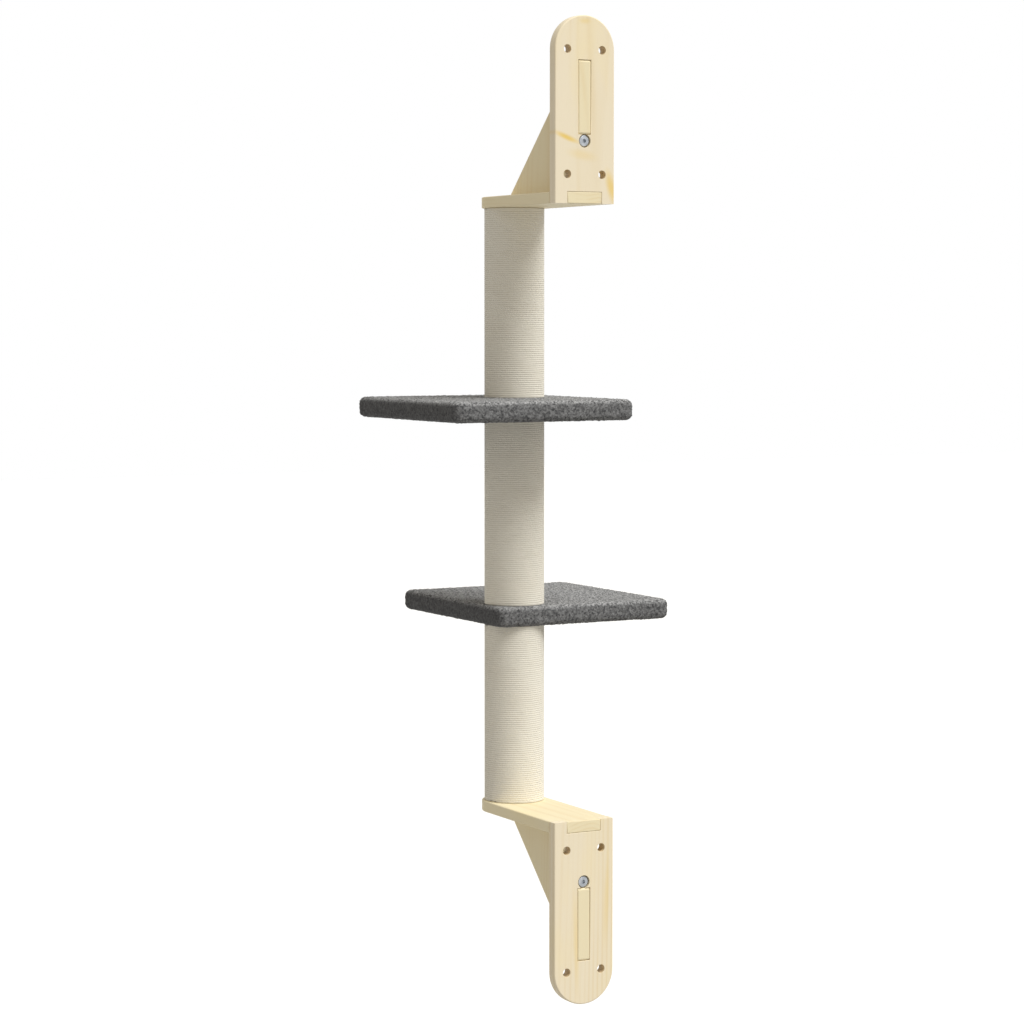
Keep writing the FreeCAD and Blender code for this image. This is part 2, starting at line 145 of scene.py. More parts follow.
def add_modifier(thing, kind, **settings):
    """Add one modifier, set it and apply it."""
    activate(thing)
    modifier = thing.modifiers.new(kind.title(), kind)
    for name, setting in settings.items():
        setattr(modifier, name, setting)
    bpy.ops.object.modifier_apply(modifier=modifier.name)


def cut_out(thing, cutter):
    """Take a cutter's shape out of an object, and the cutter away."""
    add_modifier(thing, "BOOLEAN", operation="DIFFERENCE", solver="EXACT", object=cutter)
    bpy.data.objects.remove(cutter)


def settle(thing):
    """Put an object's place into its mesh, so that it sits at the origin."""
    activate(thing)
    bpy.ops.object.transform_apply(location=True, rotation=True, scale=True)


def smooth(thing, angle=FLAT):
    activate(thing)
    bpy.ops.object.shade_smooth_by_angle(angle=angle)


def smooth_flats(thing):
    """Smooth the eased edges, and keep the broad faces beside them flat."""
    smooth(thing)
    for face in thing.data.polygons:
        if face.area > BROAD or max(abs(way) for way in face.normal) > 0.9999:
            face.use_smooth = False


def finish_piece(thing, body, material, replaced):
    """Hang a finished piece on its body in place of the nodes that it stands for."""
    settle(thing)
    thing.data.materials.clear()
    thing.data.materials.append(material)
    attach(thing, body)
    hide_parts(*replaced)


def dress_node(node, material):
    """Give a frame node that stays as it is its own material."""
    NODES[node].data.materials.clear()
    NODES[node].data.materials.append(material)


def copy_of(node, name):
    """A merged copy of a frame node, with its flat faces joined up."""
    thing = bpy.data.objects.new(name, NODES[node].data.copy())
    bpy.context.scene.collection.objects.link(thing)
    edit(thing)
    bpy.ops.mesh.select_all(action="SELECT")
    bpy.ops.mesh.remove_doubles(threshold=0.002 * MM)
    bpy.ops.mesh.dissolve_limited(angle_limit=math.radians(0.5))
    close_edit(thing)
    return thing


# --------------------------------------------------------------------- shader maths


class Wire:
    """One output of a shader, for use in Python expressions."""

    def __init__(self, finish, socket):
        self.finish = finish
        self.socket = socket

    def maths(self, operation, *values):
        return self.finish.add("ShaderNodeMath", {"operation": operation}, values)

    def __add__(self, other):
        return self.maths("ADD", self, other)

    __radd__ = __add__

    def __sub__(self, other):
        return self.maths("SUBTRACT", self, other)

    def __rsub__(self, other):
        return self.maths("SUBTRACT", other, self)

    def __mul__(self, other):
        return self.maths("MULTIPLY", self, other)

    __rmul__ = __mul__

    def __truediv__(self, other):
        return self.maths("DIVIDE", self, other)

    def __pow__(self, other):
        return self.maths("POWER", self, other)

    def sine(self):
        return self.maths("SINE", self)

    def size(self):
        return self.maths("ABSOLUTE", self)

    def ramp(self, low, high):
        """0 below low, 1 above high, and smooth between them."""
        settings = {"interpolation_type": "SMOOTHSTEP"}
        limits = {"Value": self, "From Min": low, "From Max": high}
        return self.finish.add("ShaderNodeMapRange", settings, limits)


class Finish:
    """The nodes of a material or world in the making."""

    def __init__(self, block, last="Material Output"):
        self.block = block
        block.use_nodes = True
        self.tree = block.node_tree
        self.shader = self.tree.nodes.get("Principled BSDF")
        self.out = self.tree.nodes[last]

    def link(self, value, socket):
        """Join a wire to a socket, or set the socket to a plain value."""
        if isinstance(value, Wire):
            self.tree.links.new(value.socket, socket)
        else:
            socket.default_value = value

    def add(self, kind, settings=None, inputs=None, output=0):
        """Add any node. Settings are set first, then its inputs by name or in order."""
        node = self.tree.nodes.new(kind)
        for name, setting in (settings or {}).items():
            setattr(node, name, setting)
        pairs = inputs.items() if isinstance(inputs, dict) else enumerate(inputs or ())
        for key, value in pairs:
            self.link(value, node.inputs[key])
        return Wire(self, node.outputs[output])

    def place(self, scale=(1, 1, 1), turn=(0, 0, 0), shift=(0, 0, 0)):
        """Object coordinates, shifted, turned and scaled."""
        start = self.add("ShaderNodeTexCoord", output="Object")
        inputs = {"Vector": start, "Location": shift, "Rotation": turn, "Scale": scale}
        return self.add("ShaderNodeMapping", {"vector_type": "POINT"}, inputs)

    def stretch(self, where, share):
        """A place scaled along each axis. A small share draws a pattern out."""
        return self.add("ShaderNodeVectorMath", {"operation": "MULTIPLY"}, [where, share])

    def noise(self, where, scale, detail=3.0, roughness=0.5, distortion=0.0):
        inputs = {"Vector": where, "Scale": scale, "Detail": detail,
                  "Roughness": roughness, "Distortion": distortion}
        return self.add("ShaderNodeTexNoise", None, inputs)

    def chips(self, where, scale):
        """A level for each of many small cells, 0 to 1."""
        inputs = {"Vector": where, "Scale": scale}
        cells = self.add("ShaderNodeTexVoronoi", None, inputs, "Color")
        return self.split(cells)[0]

    def mix(self, first, second, share):
        """Two colours mixed, with share of the second."""
        inputs = {0: share, 6: first, 7: second}
        return self.add("ShaderNodeMix", {"data_type": "RGBA"}, inputs, 2)

    def split(self, vector):
        """The X, Y and Z of a vector or colour."""
        node = self.tree.nodes.new("ShaderNodeSeparateXYZ")
        self.link(vector, node.inputs[0])
        return [Wire(self, socket) for socket in node.outputs]

    def bump(self, height, distance, strength=1.0):
        inputs = {"Strength": strength, "Distance": distance, "Height": height}
        return self.add("ShaderNodeBump", None, inputs)

    def set(self, **values):
        """Set sockets of the surface shader, each named with _ for a space."""
        for name, value in values.items():
            self.link(value, self.shader.inputs[name.replace("_", " ")])
        return self.block


def colour(red, green, blue):
    """A colour as it is seen on a screen, 0 to 255, for a shader."""
    def straighten(level):
        level /= 255
        return level / 12.92 if level <= 0.04045 else ((level + 0.055) / 1.055) ** 2.4
    return (straighten(red), straighten(green), straighten(blue), 1.0)


# ----------------------------------------------------------------------- properties


class PineSettings(bpy.types.PropertyGroup):
    rim: bpy.props.FloatProperty(
        name="Rim", description="Rounding of the boards' outer edges",
        default=1.5 * MM, min=0.0, max=4 * MM, unit="LENGTH", precision=5)
    hole_rim: bpy.props.FloatProperty(
        name="Hole rim", description="Rounding of the screw holes' edges",
        default=0.7 * MM, min=0.0, max=2 * MM, unit="LENGTH", precision=5)
    slot_rim: bpy.props.FloatProperty(
        name="Slot rim", description="Rounding of the slots and notches",
        default=0.8 * MM, min=0.0, max=2 * MM, unit="LENGTH", precision=5)
    tenon_rim: bpy.props.FloatProperty(
        name="Tenon rim", description="Rounding of the braces' tenons along the grain",
        default=1.6 * MM, min=0.0, max=4 * MM, unit="LENGTH", precision=5)
    pale: bpy.props.FloatVectorProperty(
        name="Pale wood", description="Colour of the early wood", subtype="COLOR",
        size=4, min=0, max=1, default=colour(241, 228, 201))
    yellow: bpy.props.FloatVectorProperty(
        name="Yellow wood", description="Early wood of the shelves and braces",
        subtype="COLOR", size=4, min=0, max=1, default=colour(239, 226, 190))
    dark: bpy.props.FloatVectorProperty(
        name="Grain", description="Colour of the grain lines", subtype="COLOR",
        size=4, min=0, max=1, default=colour(228, 206, 160))
    streak: bpy.props.FloatVectorProperty(
        name="Streak", description="Colour of the resin streaks", subtype="COLOR",
        size=4, min=0, max=1, default=colour(238, 206, 118))


class RopeSettings(bpy.types.PropertyGroup):
    pitch: bpy.props.FloatProperty(
        name="Pitch", description="Height of one turn of the rope",
        default=2.8 * MM, min=2 * MM, max=12 * MM, unit="LENGTH", precision=5)
    steps: bpy.props.IntProperty(
        name="Steps", description="Faces along one turn", default=64, min=16, max=96)
    rounding: bpy.props.FloatProperty(
        name="Rounding", description="Radius of the rope's corners, which pull flattens",
        default=0.85 * MM, min=0.3 * MM, max=1.1 * MM, unit="LENGTH", precision=5)
    tint: bpy.props.FloatVectorProperty(
        name="Rope", description="Colour of the fibre", subtype="COLOR",
        size=4, min=0, max=1, default=colour(238, 233, 220))


class CarpetSettings(bpy.types.PropertyGroup):
    corner: bpy.props.FloatProperty(
        name="Corner", description="Radius of the platforms' corners",
        default=14 * MM, min=2 * MM, max=40 * MM, unit="LENGTH", precision=5)
    rounding: bpy.props.FloatProperty(
        name="Rounding", description="Radius of the carpet over the board's edges",
        default=8 * MM, min=1 * MM, max=12 * MM, unit="LENGTH", precision=5)
    pile: bpy.props.FloatProperty(
        name="Pile", description="Strength of the tufts' unevenness",
        default=2.4 * MM, min=0.0, max=8 * MM, unit="LENGTH", precision=5)
    dark: bpy.props.FloatVectorProperty(
        name="Ground", description="Colour between the tufts", subtype="COLOR",
        size=4, min=0, max=1, default=colour(72, 72, 73))
    light: bpy.props.FloatVectorProperty(
        name="Fleck", description="Colour of the lightest tufts", subtype="COLOR",
        size=4, min=0, max=1, default=colour(190, 190, 190))


class SteelSettings(bpy.types.PropertyGroup):
    ease: bpy.props.FloatProperty(
        name="Head edge", description="Rounding of the bolt heads",
        default=1.0 * MM, min=0.0, max=2 * MM, unit="LENGTH", precision=5)
    brim: bpy.props.FloatProperty(
        name="Brim", description="How far the brace bolts' heads reach beyond their core",
        default=1.3 * MM, min=0.0, max=2 * MM, unit="LENGTH", precision=5)
    socket: bpy.props.FloatProperty(
        name="Socket", description="Width of the hexagon across its flats",
        default=5 * MM, min=2 * MM, max=8 * MM, unit="LENGTH", precision=5)
    tint: bpy.props.FloatVectorProperty(
        name="Steel", description="Colour of the plated steel", subtype="COLOR",
        size=4, min=0, max=1, default=colour(164, 169, 175))


class StageSettings(bpy.types.PropertyGroup):
    floor_drop: bpy.props.FloatProperty(
        name="Floor drop", description="Height from the floor to the tree's lowest point",
        default=0.50, min=0.0, max=2.0, unit="LENGTH")
    room: bpy.props.FloatProperty(
        name="Room", description="Strength of the even light from all round",
        default=0.47, min=0, max=3)
    key: bpy.props.FloatProperty(
        name="Key", description="Strength of the main lamp", default=2.75, min=0, max=20)
    key_spread: bpy.props.FloatProperty(
        name="Key spread", description="Breadth of the main lamp in the sky",
        default=math.radians(40), min=0, max=math.pi, subtype="ANGLE")
    fill: bpy.props.FloatProperty(
        name="Fill", description="Strength of the side lamp", default=0.26, min=0, max=20)


# ------------------------------------------------------------------------ materials


def make_pine(name, early, along, cut, tilt=(0.0, 0.0), streaks=(), holes=None):
    """Clear pine. early is its main colour, and along the way of the grain, X, Y
    or Z. cut is how far the log's heart lies from the board, and tilt how it leans.
    Each streak of resin is (x, z, half length, half width, angle from X, strength).
    holes is the height of the middle of four screw holes, whose walls are given
    painted shade."""
    wood = bpy.context.scene.cat_tree_pine
    finish = Finish(bpy.data.materials.new(name))
    turn = {"X": (0, math.pi / 2, 0), "Y": (math.pi / 2, 0, 0), "Z": (0, 0, 0)}[along]
    turn = (turn[0] + tilt[0], turn[1] + tilt[1], turn[2])
    where = finish.place(turn=turn, shift=cut)
    slow = finish.stretch(where, (1.0, 1.0, 0.07))
    bend = finish.noise(slow, 8.0, 2.0)
    x, y, _ = finish.split(where)
    heart = (x * x + y * y) ** 0.5
    ring = ((heart + bend * 0.045) * 1050).sine() * 0.5 + 0.5
    clear = finish.noise(slow, 26.0, 2.0).ramp(0.34, 0.66)
    cloud = finish.noise(finish.stretch(where, (1.0, 1.0, 0.3)), 20.0, 3.0)
    tone = finish.mix(early, wood.dark, ring ** 3 * clear * 0.42 + clear * 0.10)
    tone = finish.mix(tone, colour(246, 228, 178), cloud.ramp(0.5, 0.78) * 0.45)
    right, _, up = finish.split(finish.add("ShaderNodeTexCoord", output="Object"))
    waver = 6 * MM
    for left, high, long, thin, angle, strength in streaks:
        across, upwards = right - left, up - high + (bend - 0.5) * waver
        along_streak = (across * math.cos(angle) + upwards * math.sin(angle)) / long
        off_streak = (upwards * math.cos(angle) - across * math.sin(angle)) / thin
        far = (along_streak ** 2 + off_streak ** 2) ** 0.5
        tone = finish.mix(tone, wood.streak, (1 - far.ramp(0.1, 1.0)) * strength)
    # Painted shade: the walls of the four screw holes are drawn darker.
    if holes is not None:
        aside = right.size() - HOLE_ACROSS
        above = (up - holes).size() - HOLE_ABOVE
        reach = (aside * aside + above * above) ** 0.5
        wall = 1 - reach.ramp(HOLE_RADIUS + 0.05 * MM, HOLE_RADIUS + 0.4 * MM)
        tone = finish.mix(tone, colour(204, 182, 144), wall * 0.8)
    fibre = finish.noise(finish.stretch(where, (1.0, 1.0, 0.02)), 1400.0, 2.0, 0.6)
    shade = finish.mix(tone, colour(212, 188, 144), fibre.ramp(0.55, 0.85) * 0.20)
    return finish.set(
        Base_Color=shade,
        Roughness=0.48 + 0.14 * fibre,
        Specular_IOR_Level=0.3,
        Normal=finish.bump(fibre * 0.7 + ring * 0.3, 0.08 * MM, 0.35))


def make_plain_wood(name, base, grain):
    """Raw turned or pressed wood that hardly shows."""
    finish = Finish(bpy.data.materials.new(name))
    level = finish.chips(finish.place(scale=(1, 1, 0.4)), 260.0)
    fine = finish.noise(finish.place(), 900.0, 2.0)
    tint = finish.mix(base, grain, level * 0.6 + fine * 0.3)
    return finish.set(Base_Color=tint, Roughness=0.75 + 0.1 * fine,
                      Normal=finish.bump(fine + level, 0.2 * MM, 0.5))


def make_rope_finish():
    """Twisted fibre. The lay runs slantwise round each turn of the rope."""
    rope = bpy.context.scene.cat_tree_rope
    finish = Finish(bpy.data.materials.new("rope_fibre"))
    where = finish.place(shift=(0, -POST_Y, 0))
    x, y, z = finish.split(where)
    around = finish.add("ShaderNodeMath", {"operation": "ARCTAN2"}, [y, x])
    lay = (around * 180 + z * (2 * math.pi / rope.pitch)).sine() * 0.5 + 0.5
    slub = finish.noise(finish.stretch(where, (1, 1, 3)), 60.0, 3.0)
    fuzz = finish.noise(where, 1900.0, 2.0, 0.7)
    soil = finish.noise(finish.stretch(where, (1, 1, 2)), 12.0, 2.0)
    worn = slub.ramp(0.5, 0.85) * 0.3 + lay * 0.08
    tint = finish.mix(rope.tint, colour(216, 209, 193), worn)
    tint = finish.mix(tint, colour(228, 220, 204), soil.ramp(0.5, 0.75) * 0.25)
    return finish.set(
        Base_Color=tint,
        Roughness=0.86 + 0.08 * fuzz,
        Specular_IOR_Level=0.15,
        Sheen_Weight=0.1,
        Normal=finish.bump(lay * 0.5 + fuzz * 0.5, 0.07 * MM, 0.4))


def make_carpet_finish(side):
    """Cut pile of dark and light tufts, in random flecks and patches. It carries
    painted light on top and painted shade where it goes round the boards' ends."""
    carpet = bpy.context.scene.cat_tree_carpet
    low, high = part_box(f"{side}_platform_carpet")
    finish = Finish(bpy.data.materials.new(f"{side}_carpet_pile"))
    where = finish.place()
    level = finish.chips(where, 520.0)
    patch = finish.noise(where, 300.0, 2.0, 0.6).ramp(0.35, 0.65)
    x, _, z = finish.split(where)
    half = (high.x - low.x) / 2
    # Painted light and shade: the light flecks are made denser on the top and sparser on the boards'
    # ends.
    top = z.ramp(high.z - 6 * MM, high.z - 1 * MM)
    ends = (x - (low.x + half)).size().ramp(half - 6 * MM, half - 1 * MM)
    painted_top_light_and_end_shade = 1.04 + 1.3 * top - 0.58 * ends
    flecks_and_painted_light = (0.24 * (level + patch) - 0.03) * painted_top_light_and_end_shade
    curl = finish.noise(where, 520.0, 3.0, 0.65, 1.0)
    fine = finish.noise(where, 1700.0, 2.0, 0.7)
    return finish.set(
        Base_Color=finish.mix(carpet.dark, carpet.light, flecks_and_painted_light),
        Roughness=0.95,
        Specular_IOR_Level=0.1,
        Sheen_Weight=0.05,
        Sheen_Roughness=0.4,
        Normal=finish.bump(curl + fine * 0.25, 1.0 * MM, 1.0))


def make_steel_finish():
    """Zinc-plated steel with small scuffs and lighter patches in its plating."""
    steel = bpy.context.scene.cat_tree_steel
    finish = Finish(bpy.data.materials.new("plated_steel"))
    scuff = finish.noise(finish.place(), 700.0, 4.0, 0.7)
    bloom = finish.noise(finish.place(), 160.0, 3.0)
    tint = finish.mix(steel.tint, colour(188, 192, 197), bloom.ramp(0.4, 0.7))
    return finish.set(
        Base_Color=tint,
        Metallic=0.9,
        Roughness=0.30 + 0.25 * scuff,
        Normal=finish.bump(scuff, 0.05 * MM, 0.4))


# ----------------------------------------------------------- which edge is which


def on_plane(first, second, axis, level):
    """Whether both ends of an edge lie at one level of an axis."""
    return max(abs(first[axis] - level), abs(second[axis] - level)) < SAME_LEVEL


def near_rim(point, side):
    """Whether a point is on the outline of an upright board: its long sides or its
    round end. side is the bracket that the board belongs to."""
    low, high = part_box(f"{side}_wall_plate")
    centre = high.z - BOARD_HALF if side == "upper" else low.z + BOARD_HALF
    beyond = point.z > centre if side == "upper" else point.z < centre
    if beyond:
        return abs(math.hypot(point.x, point.z - centre) - BOARD_HALF) < SAME_ARC
    return abs(abs(point.x) - BOARD_HALF) < SAME_LINE


def pattern_height(side):
    """Height of the middle of a plate's four screw holes."""
    low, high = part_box(f"{side}_wall_plate")
    return low.z - PLATE_LOW.z if side == "upper" else high.z + PLATE_LOW.z


def at_hole(point, side):
    """Whether a point is on the rim of one of the four screw holes."""
    across = abs(point.x) - HOLE_ACROSS
    above = abs(point.z - pattern_height(side)) - HOLE_ABOVE
    return math.hypot(across, above) < HOLE_RADIUS + 0.3 * MM


def in_joint(a, b, side):
    """Whether an edge is a straight side of the slot or of the shelf's notch."""
    low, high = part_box(f"{side}_wall_plate")
    straight = min(abs(a.x - b.x), abs(a.z - b.z)) < SAME_LEVEL and (a - b).length > 3 * MM
    at_end = on_plane(a, b, 2, low.z) or on_plane(a, b, 2, high.z)
    return straight and not at_end and not (near_rim(a, side) and near_rim(b, side))


# ------------------------------------------------------------------------ operators


class CATTREE_OT_wall_plates(bpy.types.Operator):
    """Upright boards against the wall, with eased rims, slots and screw holes"""

    bl_idname = "cattree.wall_plates"
    bl_label = "Wall plates"

    def execute(self, context):
        wood = context.scene.cat_tree_pine
        # Each board's cut, tilt and streaks of resin.
        figure = {
            "upper": ((0.012, 0.060, 0.0), (0.02, 0.03), [
                (0.027, -0.0335, 0.027, 0.0055, math.radians(20), 1.0),
                (-0.040, -0.098, 0.032, 0.010, math.radians(75), 0.8),
                (0.004, -0.056, 0.030, 0.010, math.radians(10), 0.3),
                (0.0, 0.118, 0.012, 0.006, 0.0, 0.4)]),
            "lower": ((-0.030, 0.052, 0.4), (-0.02, 0.02), [
                (0.012, -1.09, 0.10, 0.006, math.radians(88), 0.35),
                (-0.034, -1.04, 0.09, 0.006, math.radians(92), 0.35)]),
        }
        for side in SIDES:
            board = copy_of(f"{side}_wall_plate", f"{side}_wall_board")
            for level in (-BOARD_THICK, 0.0):
                ease_edges(board, wood.rim, 3, lambda a, b: (
                    on_plane(a, b, 1, level) and near_rim(a, side) and near_rim(b, side)))
                ease_edges(board, wood.hole_rim, 2, lambda a, b: (
                    on_plane(a, b, 1, level) and at_hole(a, side) and at_hole(b, side)))
            ease_edges(board, wood.slot_rim, 3, lambda a, b: (
                on_plane(a, b, 1, 0.0) and in_joint(a, b, side)), clamp=False)
            smooth_flats(board)
            pine = make_pine(f"pine_{side}_wall_plate", wood.pale, "Z", *figure[side],
                             pattern_height(side))
            finish_piece(board, ROOT, pine, [f"{side}_wall_plate"])
        return {"FINISHED"}


class CATTREE_OT_shelves(bpy.types.Operator):
    """Boards that carry the post's ends, with eased rims and sunk bolt seats"""

    bl_idname = "cattree.shelves"
    bl_label = "Shelves"

    def execute(self, context):
        wood = context.scene.cat_tree_pine
        for side in SIDES:
            low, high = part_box(f"{side}_shelf")
            board = copy_of(f"{side}_shelf", f"{side}_shelf_board")
            for level in (low.z, high.z):
                ease_edges(board, wood.rim, 3, lambda a, b: (
                    on_plane(a, b, 2, level) and self.at_rim(a) and self.at_rim(b)))
            ease_edges(board, wood.slot_rim, 2, lambda a, b: on_plane(a, b, 1, 0.0))
            smooth_flats(board)
            heart = {"upper": (0.03, 0.065 - low.z, 0.09), "lower": (0.0, low.z - 0.05, 0.98)}
            pine = make_pine(f"pine_{side}_shelf", wood.yellow, "Y", heart[side], (0.02, 0.01))
            finish_piece(board, ROOT, pine, [f"{side}_shelf"])
        return {"FINISHED"}

    def at_rim(self, point):
        """Whether a point is on a shelf's long sides or its end round the post."""
        if point.y < POST_Y:
            return abs(math.hypot(point.x, point.y - POST_Y) - BOARD_HALF) < SAME_ARC
        return abs(abs(point.x) - BOARD_HALF) < SAME_LINE


class CATTREE_OT_braces(bpy.types.Operator):
    """Three-cornered boards between shelf and wall plate, with their dowels"""

    bl_idname = "cattree.braces"
    bl_label = "Braces"

    TENON_END = -3.1 * MM

    def execute(self, context):
        wood = context.scene.cat_tree_pine
        beech = make_plain_wood("beech_dowel", colour(214, 180, 138), colour(190, 150, 108))
        for side in SIDES:
            low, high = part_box(f"{side}_brace")
            half = (high.x - low.x) / 2
            board = copy_of(f"{side}_brace", f"{side}_brace_board")
            ease_edges(board, wood.rim, 3, lambda a, b: (
                (on_plane(a, b, 0, half) or on_plane(a, b, 0, -half))
                and min(abs(a.y - b.y), abs(a.z - b.z)) > 0.1))
            ease_edges(board, wood.tenon_rim, 5, lambda a, b: (
                (on_plane(a, b, 0, half) or on_plane(a, b, 0, -half))
                and min(a.y, b.y) > self.TENON_END), clamp=False)
            smooth_flats(board)
            heart = {"upper": (0.07, 0.10, 0.7), "lower": (0.06, 0.13, 0.2)}
            pine = make_pine(f"pine_{side}_brace", wood.yellow, "Z", heart[side], (0.05, 0.02))
            finish_piece(board, ROOT, pine, [f"{side}_brace"])
            dress_node(f"{side}_brace_dowels", beech)
        return {"FINISHED"}


class CATTREE_OT_bolts(bpy.types.Operator):
    """Socket head bolts of braces and post, and the platforms' threaded studs"""

    bl_idname = "cattree.bolts"
    bl_label = "Bolts and studs"

    BRACE_HEAD, BRACE_SHANK = 6 * MM, 3 * MM
    POST_HEAD, POST_SHANK = 5 * MM, 4 * MM

    def execute(self, context):
        steel = make_steel_finish()
        sizes = context.scene.cat_tree_steel
        for side in SIDES:
            low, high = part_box(f"{side}_brace_bolt")
            self.make_bolt(f"{side}_brace_cap_bolt", steel, f"{side}_brace_bolt",
                           Vector((0, high.y, (low.z + high.z) / 2)), Vector((0, 1, 0)),
                           high.x + sizes.brim, self.BRACE_HEAD, self.BRACE_SHANK,
                           high.y - low.y)
            low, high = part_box(f"{side}_post_bolt")
            outward = Vector((0, 0, 1 if side == "upper" else -1))
            top = high.z if side == "upper" else low.z
            self.make_bolt(f"{side}_post_cap_bolt", steel, f"{side}_post_bolt",
                           Vector((0, POST_Y, top)), outward,
                           high.x, self.POST_HEAD, self.POST_SHANK, high.z - low.z)
            dress_node(f"{side}_platform_stud", steel)
        return {"FINISHED"}

    def make_bolt(self, name, steel, node, top, outward, head, head_high, shank, length):
        """Bolt of a head's and a shank's radius. It is made below the origin, with the
        top of its head there, and then turned outward and put in place."""
        sizes = bpy.context.scene.cat_tree_steel
        bpy.ops.mesh.primitive_cylinder_add(
            vertices=48, radius=head, depth=head_high, location=(0, 0, -head_high / 2))
        bolt = bpy.context.object
        bolt.name = name
        settle(bolt)
        ease_edges(bolt, sizes.ease, 4, lambda a, b: on_plane(a, b, 2, 0.0))
        mesh = edit(bolt)
        bpy.ops.mesh.select_mode(type="FACE")
        for face in mesh.faces:
            face.select_set(face.normal.z < -0.9)
        bmesh.update_edit_mesh(bolt.data)
        bpy.ops.mesh.inset(thickness=head - shank)
        bpy.ops.mesh.extrude_region_move(
            TRANSFORM_OT_translate={"value": (0, 0, head_high - length)})
        close_edit(bolt)
        bpy.ops.mesh.primitive_cylinder_add(
            vertices=6, radius=sizes.socket / math.sqrt(3), depth=head_high, location=(0, 0, 0))
        cut_out(bolt, bpy.context.object)
        smooth(bolt)
        turn = outward.to_track_quat("Z", "Y").to_matrix().to_4x4()
        bolt.matrix_world = Matrix.Translation(top) @ turn
        finish_piece(bolt, ROOT, steel, [node])


class CATTREE_OT_post(bpy.types.Operator):
    """Rope wound in close turns round the three lengths of post"""

    bl_idname = "cattree.post"
    bl_label = "Roped post"

    def execute(self, context):
        rope = make_rope_finish()
        raw = make_plain_wood("raw_core", colour(222, 204, 170), colour(196, 170, 130))
        for section in SECTIONS:
            dress_node(f"{section}_post_core", raw)
            low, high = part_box(f"{section}_post_rope")
            self.wind(section, rope, low.z, high.z)
        return {"FINISHED"}

    def wind(self, section, rope, low, high):
        """A climbing coil, with a level turn at its foot and one at its top."""
        turns = round((high - low) / bpy.context.scene.cat_tree_rope.pitch) - 1
        pitch = (high - low) / (turns + 1)
        coil = self.turn_strand(pitch, pitch, turns)
        coil.name = f"{section}_rope_winding"
        activate(coil)
        for height in (0, turns * pitch):
            ring = self.turn_strand(pitch, 0.0, 1)
            ring.location.z = height
            settle(ring)
            activate(coil)
            ring.select_set(True)
            bpy.ops.object.join()
        coil.location = (0, POST_Y, low + pitch / 2)
        finish_piece(coil, ROOT, rope, [f"{section}_post_rope"])
        smooth(coil, RIBBED)

    def turn_strand(self, height, rise, turns):
        """Carry the rope's flattened section round the post, and close its ends
        where it rises."""
        sizes = bpy.context.scene.cat_tree_rope
        depth = ROPE_CREST - CORE_RADIUS
        bpy.ops.mesh.primitive_plane_add(
            size=1, location=(ROPE_CREST - depth / 2, 0, 0), rotation=(math.pi / 2, 0, 0))
        strand = bpy.context.object
        strand.scale = (depth, height, 1)
        settle(strand)
        edit(strand)
        bpy.ops.mesh.select_all(action="SELECT")
        bpy.ops.mesh.bevel(offset=sizes.rounding, segments=3, affect="VERTICES")
        bpy.ops.mesh.select_all(action="SELECT")
        bpy.ops.mesh.delete(type="ONLY_FACE")
        close_edit(strand)
        add_modifier(strand, "SCREW", angle=2 * math.pi, screw_offset=rise, axis="Z",
                     iterations=turns, steps=sizes.steps, render_steps=sizes.steps,
                     use_merge_vertices=rise == 0, merge_threshold=0.05 * MM,
                     use_smooth_shade=True)
        mesh = edit(strand)
        for edge in mesh.edges:
            edge.select_set(edge.is_boundary)
        if rise:
            bpy.ops.mesh.edge_face_add()
        bpy.ops.mesh.select_all(action="SELECT")
        bpy.ops.mesh.normals_make_consistent(inside=False)
        close_edit(strand)
        return strand


class CATTREE_OT_platforms(bpy.types.Operator):
    """Boards in their carpet covers, clamped between the lengths of post"""

    bl_idname = "cattree.platforms"
    bl_label = "Platforms"

    VOXEL = 1.7 * MM
    TUFT = 2.4 * MM
    BOARD_CORNER = 7.5 * MM
    STUD_HOLE = 6 * MM

    def execute(self, context):
        raw = make_plain_wood("pressed_board", colour(196, 170, 128), colour(150, 118, 78))
        for side in SIDES:
            dress_node(f"{side}_platform_board", raw)
            self.cover(side, make_carpet_finish(side))
        return {"FINISHED"}

    def block(self, low, high, corner, rounding):
        """Slab with round corners and rounded top and bottom edges."""
        bpy.ops.mesh.primitive_cube_add(size=1, location=(low + high) / 2)
        slab = bpy.context.object
        slab.scale = high - low
        settle(slab)
        ease_edges(slab, corner, 8, lambda a, b: abs(a.z - b.z) > (high.z - low.z) / 2)
        if rounding:
            ease_edges(slab, rounding, 6, lambda a, b: (
                on_plane(a, b, 2, low.z) or on_plane(a, b, 2, high.z)))
        return slab

    def cover(self, side, pile):
        """Carpet drawn tightly round the board, with an uneven pile outside."""
        sizes = bpy.context.scene.cat_tree_carpet
        low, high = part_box(f"{side}_platform_carpet")
        board_low, board_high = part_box(f"{side}_platform_board")
        cover = self.block(low, high, sizes.corner, sizes.rounding)
        cover.name = f"{side}_carpet_cover"
        add_modifier(cover, "REMESH", mode="VOXEL", voxel_size=self.VOXEL,
                     use_smooth_shade=True)
        tufts = bpy.data.textures.new(f"{side}_tufts", "CLOUDS")
        tufts.noise_scale = self.TUFT
        tufts.noise_depth = 1
        add_modifier(cover, "DISPLACE", texture=tufts, texture_coords="LOCAL",
                     strength=sizes.pile, mid_level=0.45)
        spare = Vector((0.1, 0.1, 0.1)) * MM
        inside = self.block(board_low - spare, board_high + spare, self.BOARD_CORNER, 0)
        cut_out(cover, inside)
        bpy.ops.mesh.primitive_cylinder_add(vertices=32, radius=self.STUD_HOLE, depth=0.1,
                                            location=(0, POST_Y, (low.z + high.z) / 2))
        cut_out(cover, bpy.context.object)
        finish_piece(cover, f"{side}_platform", pile, [f"{side}_platform_carpet"])
        smooth(cover, RIBBED)


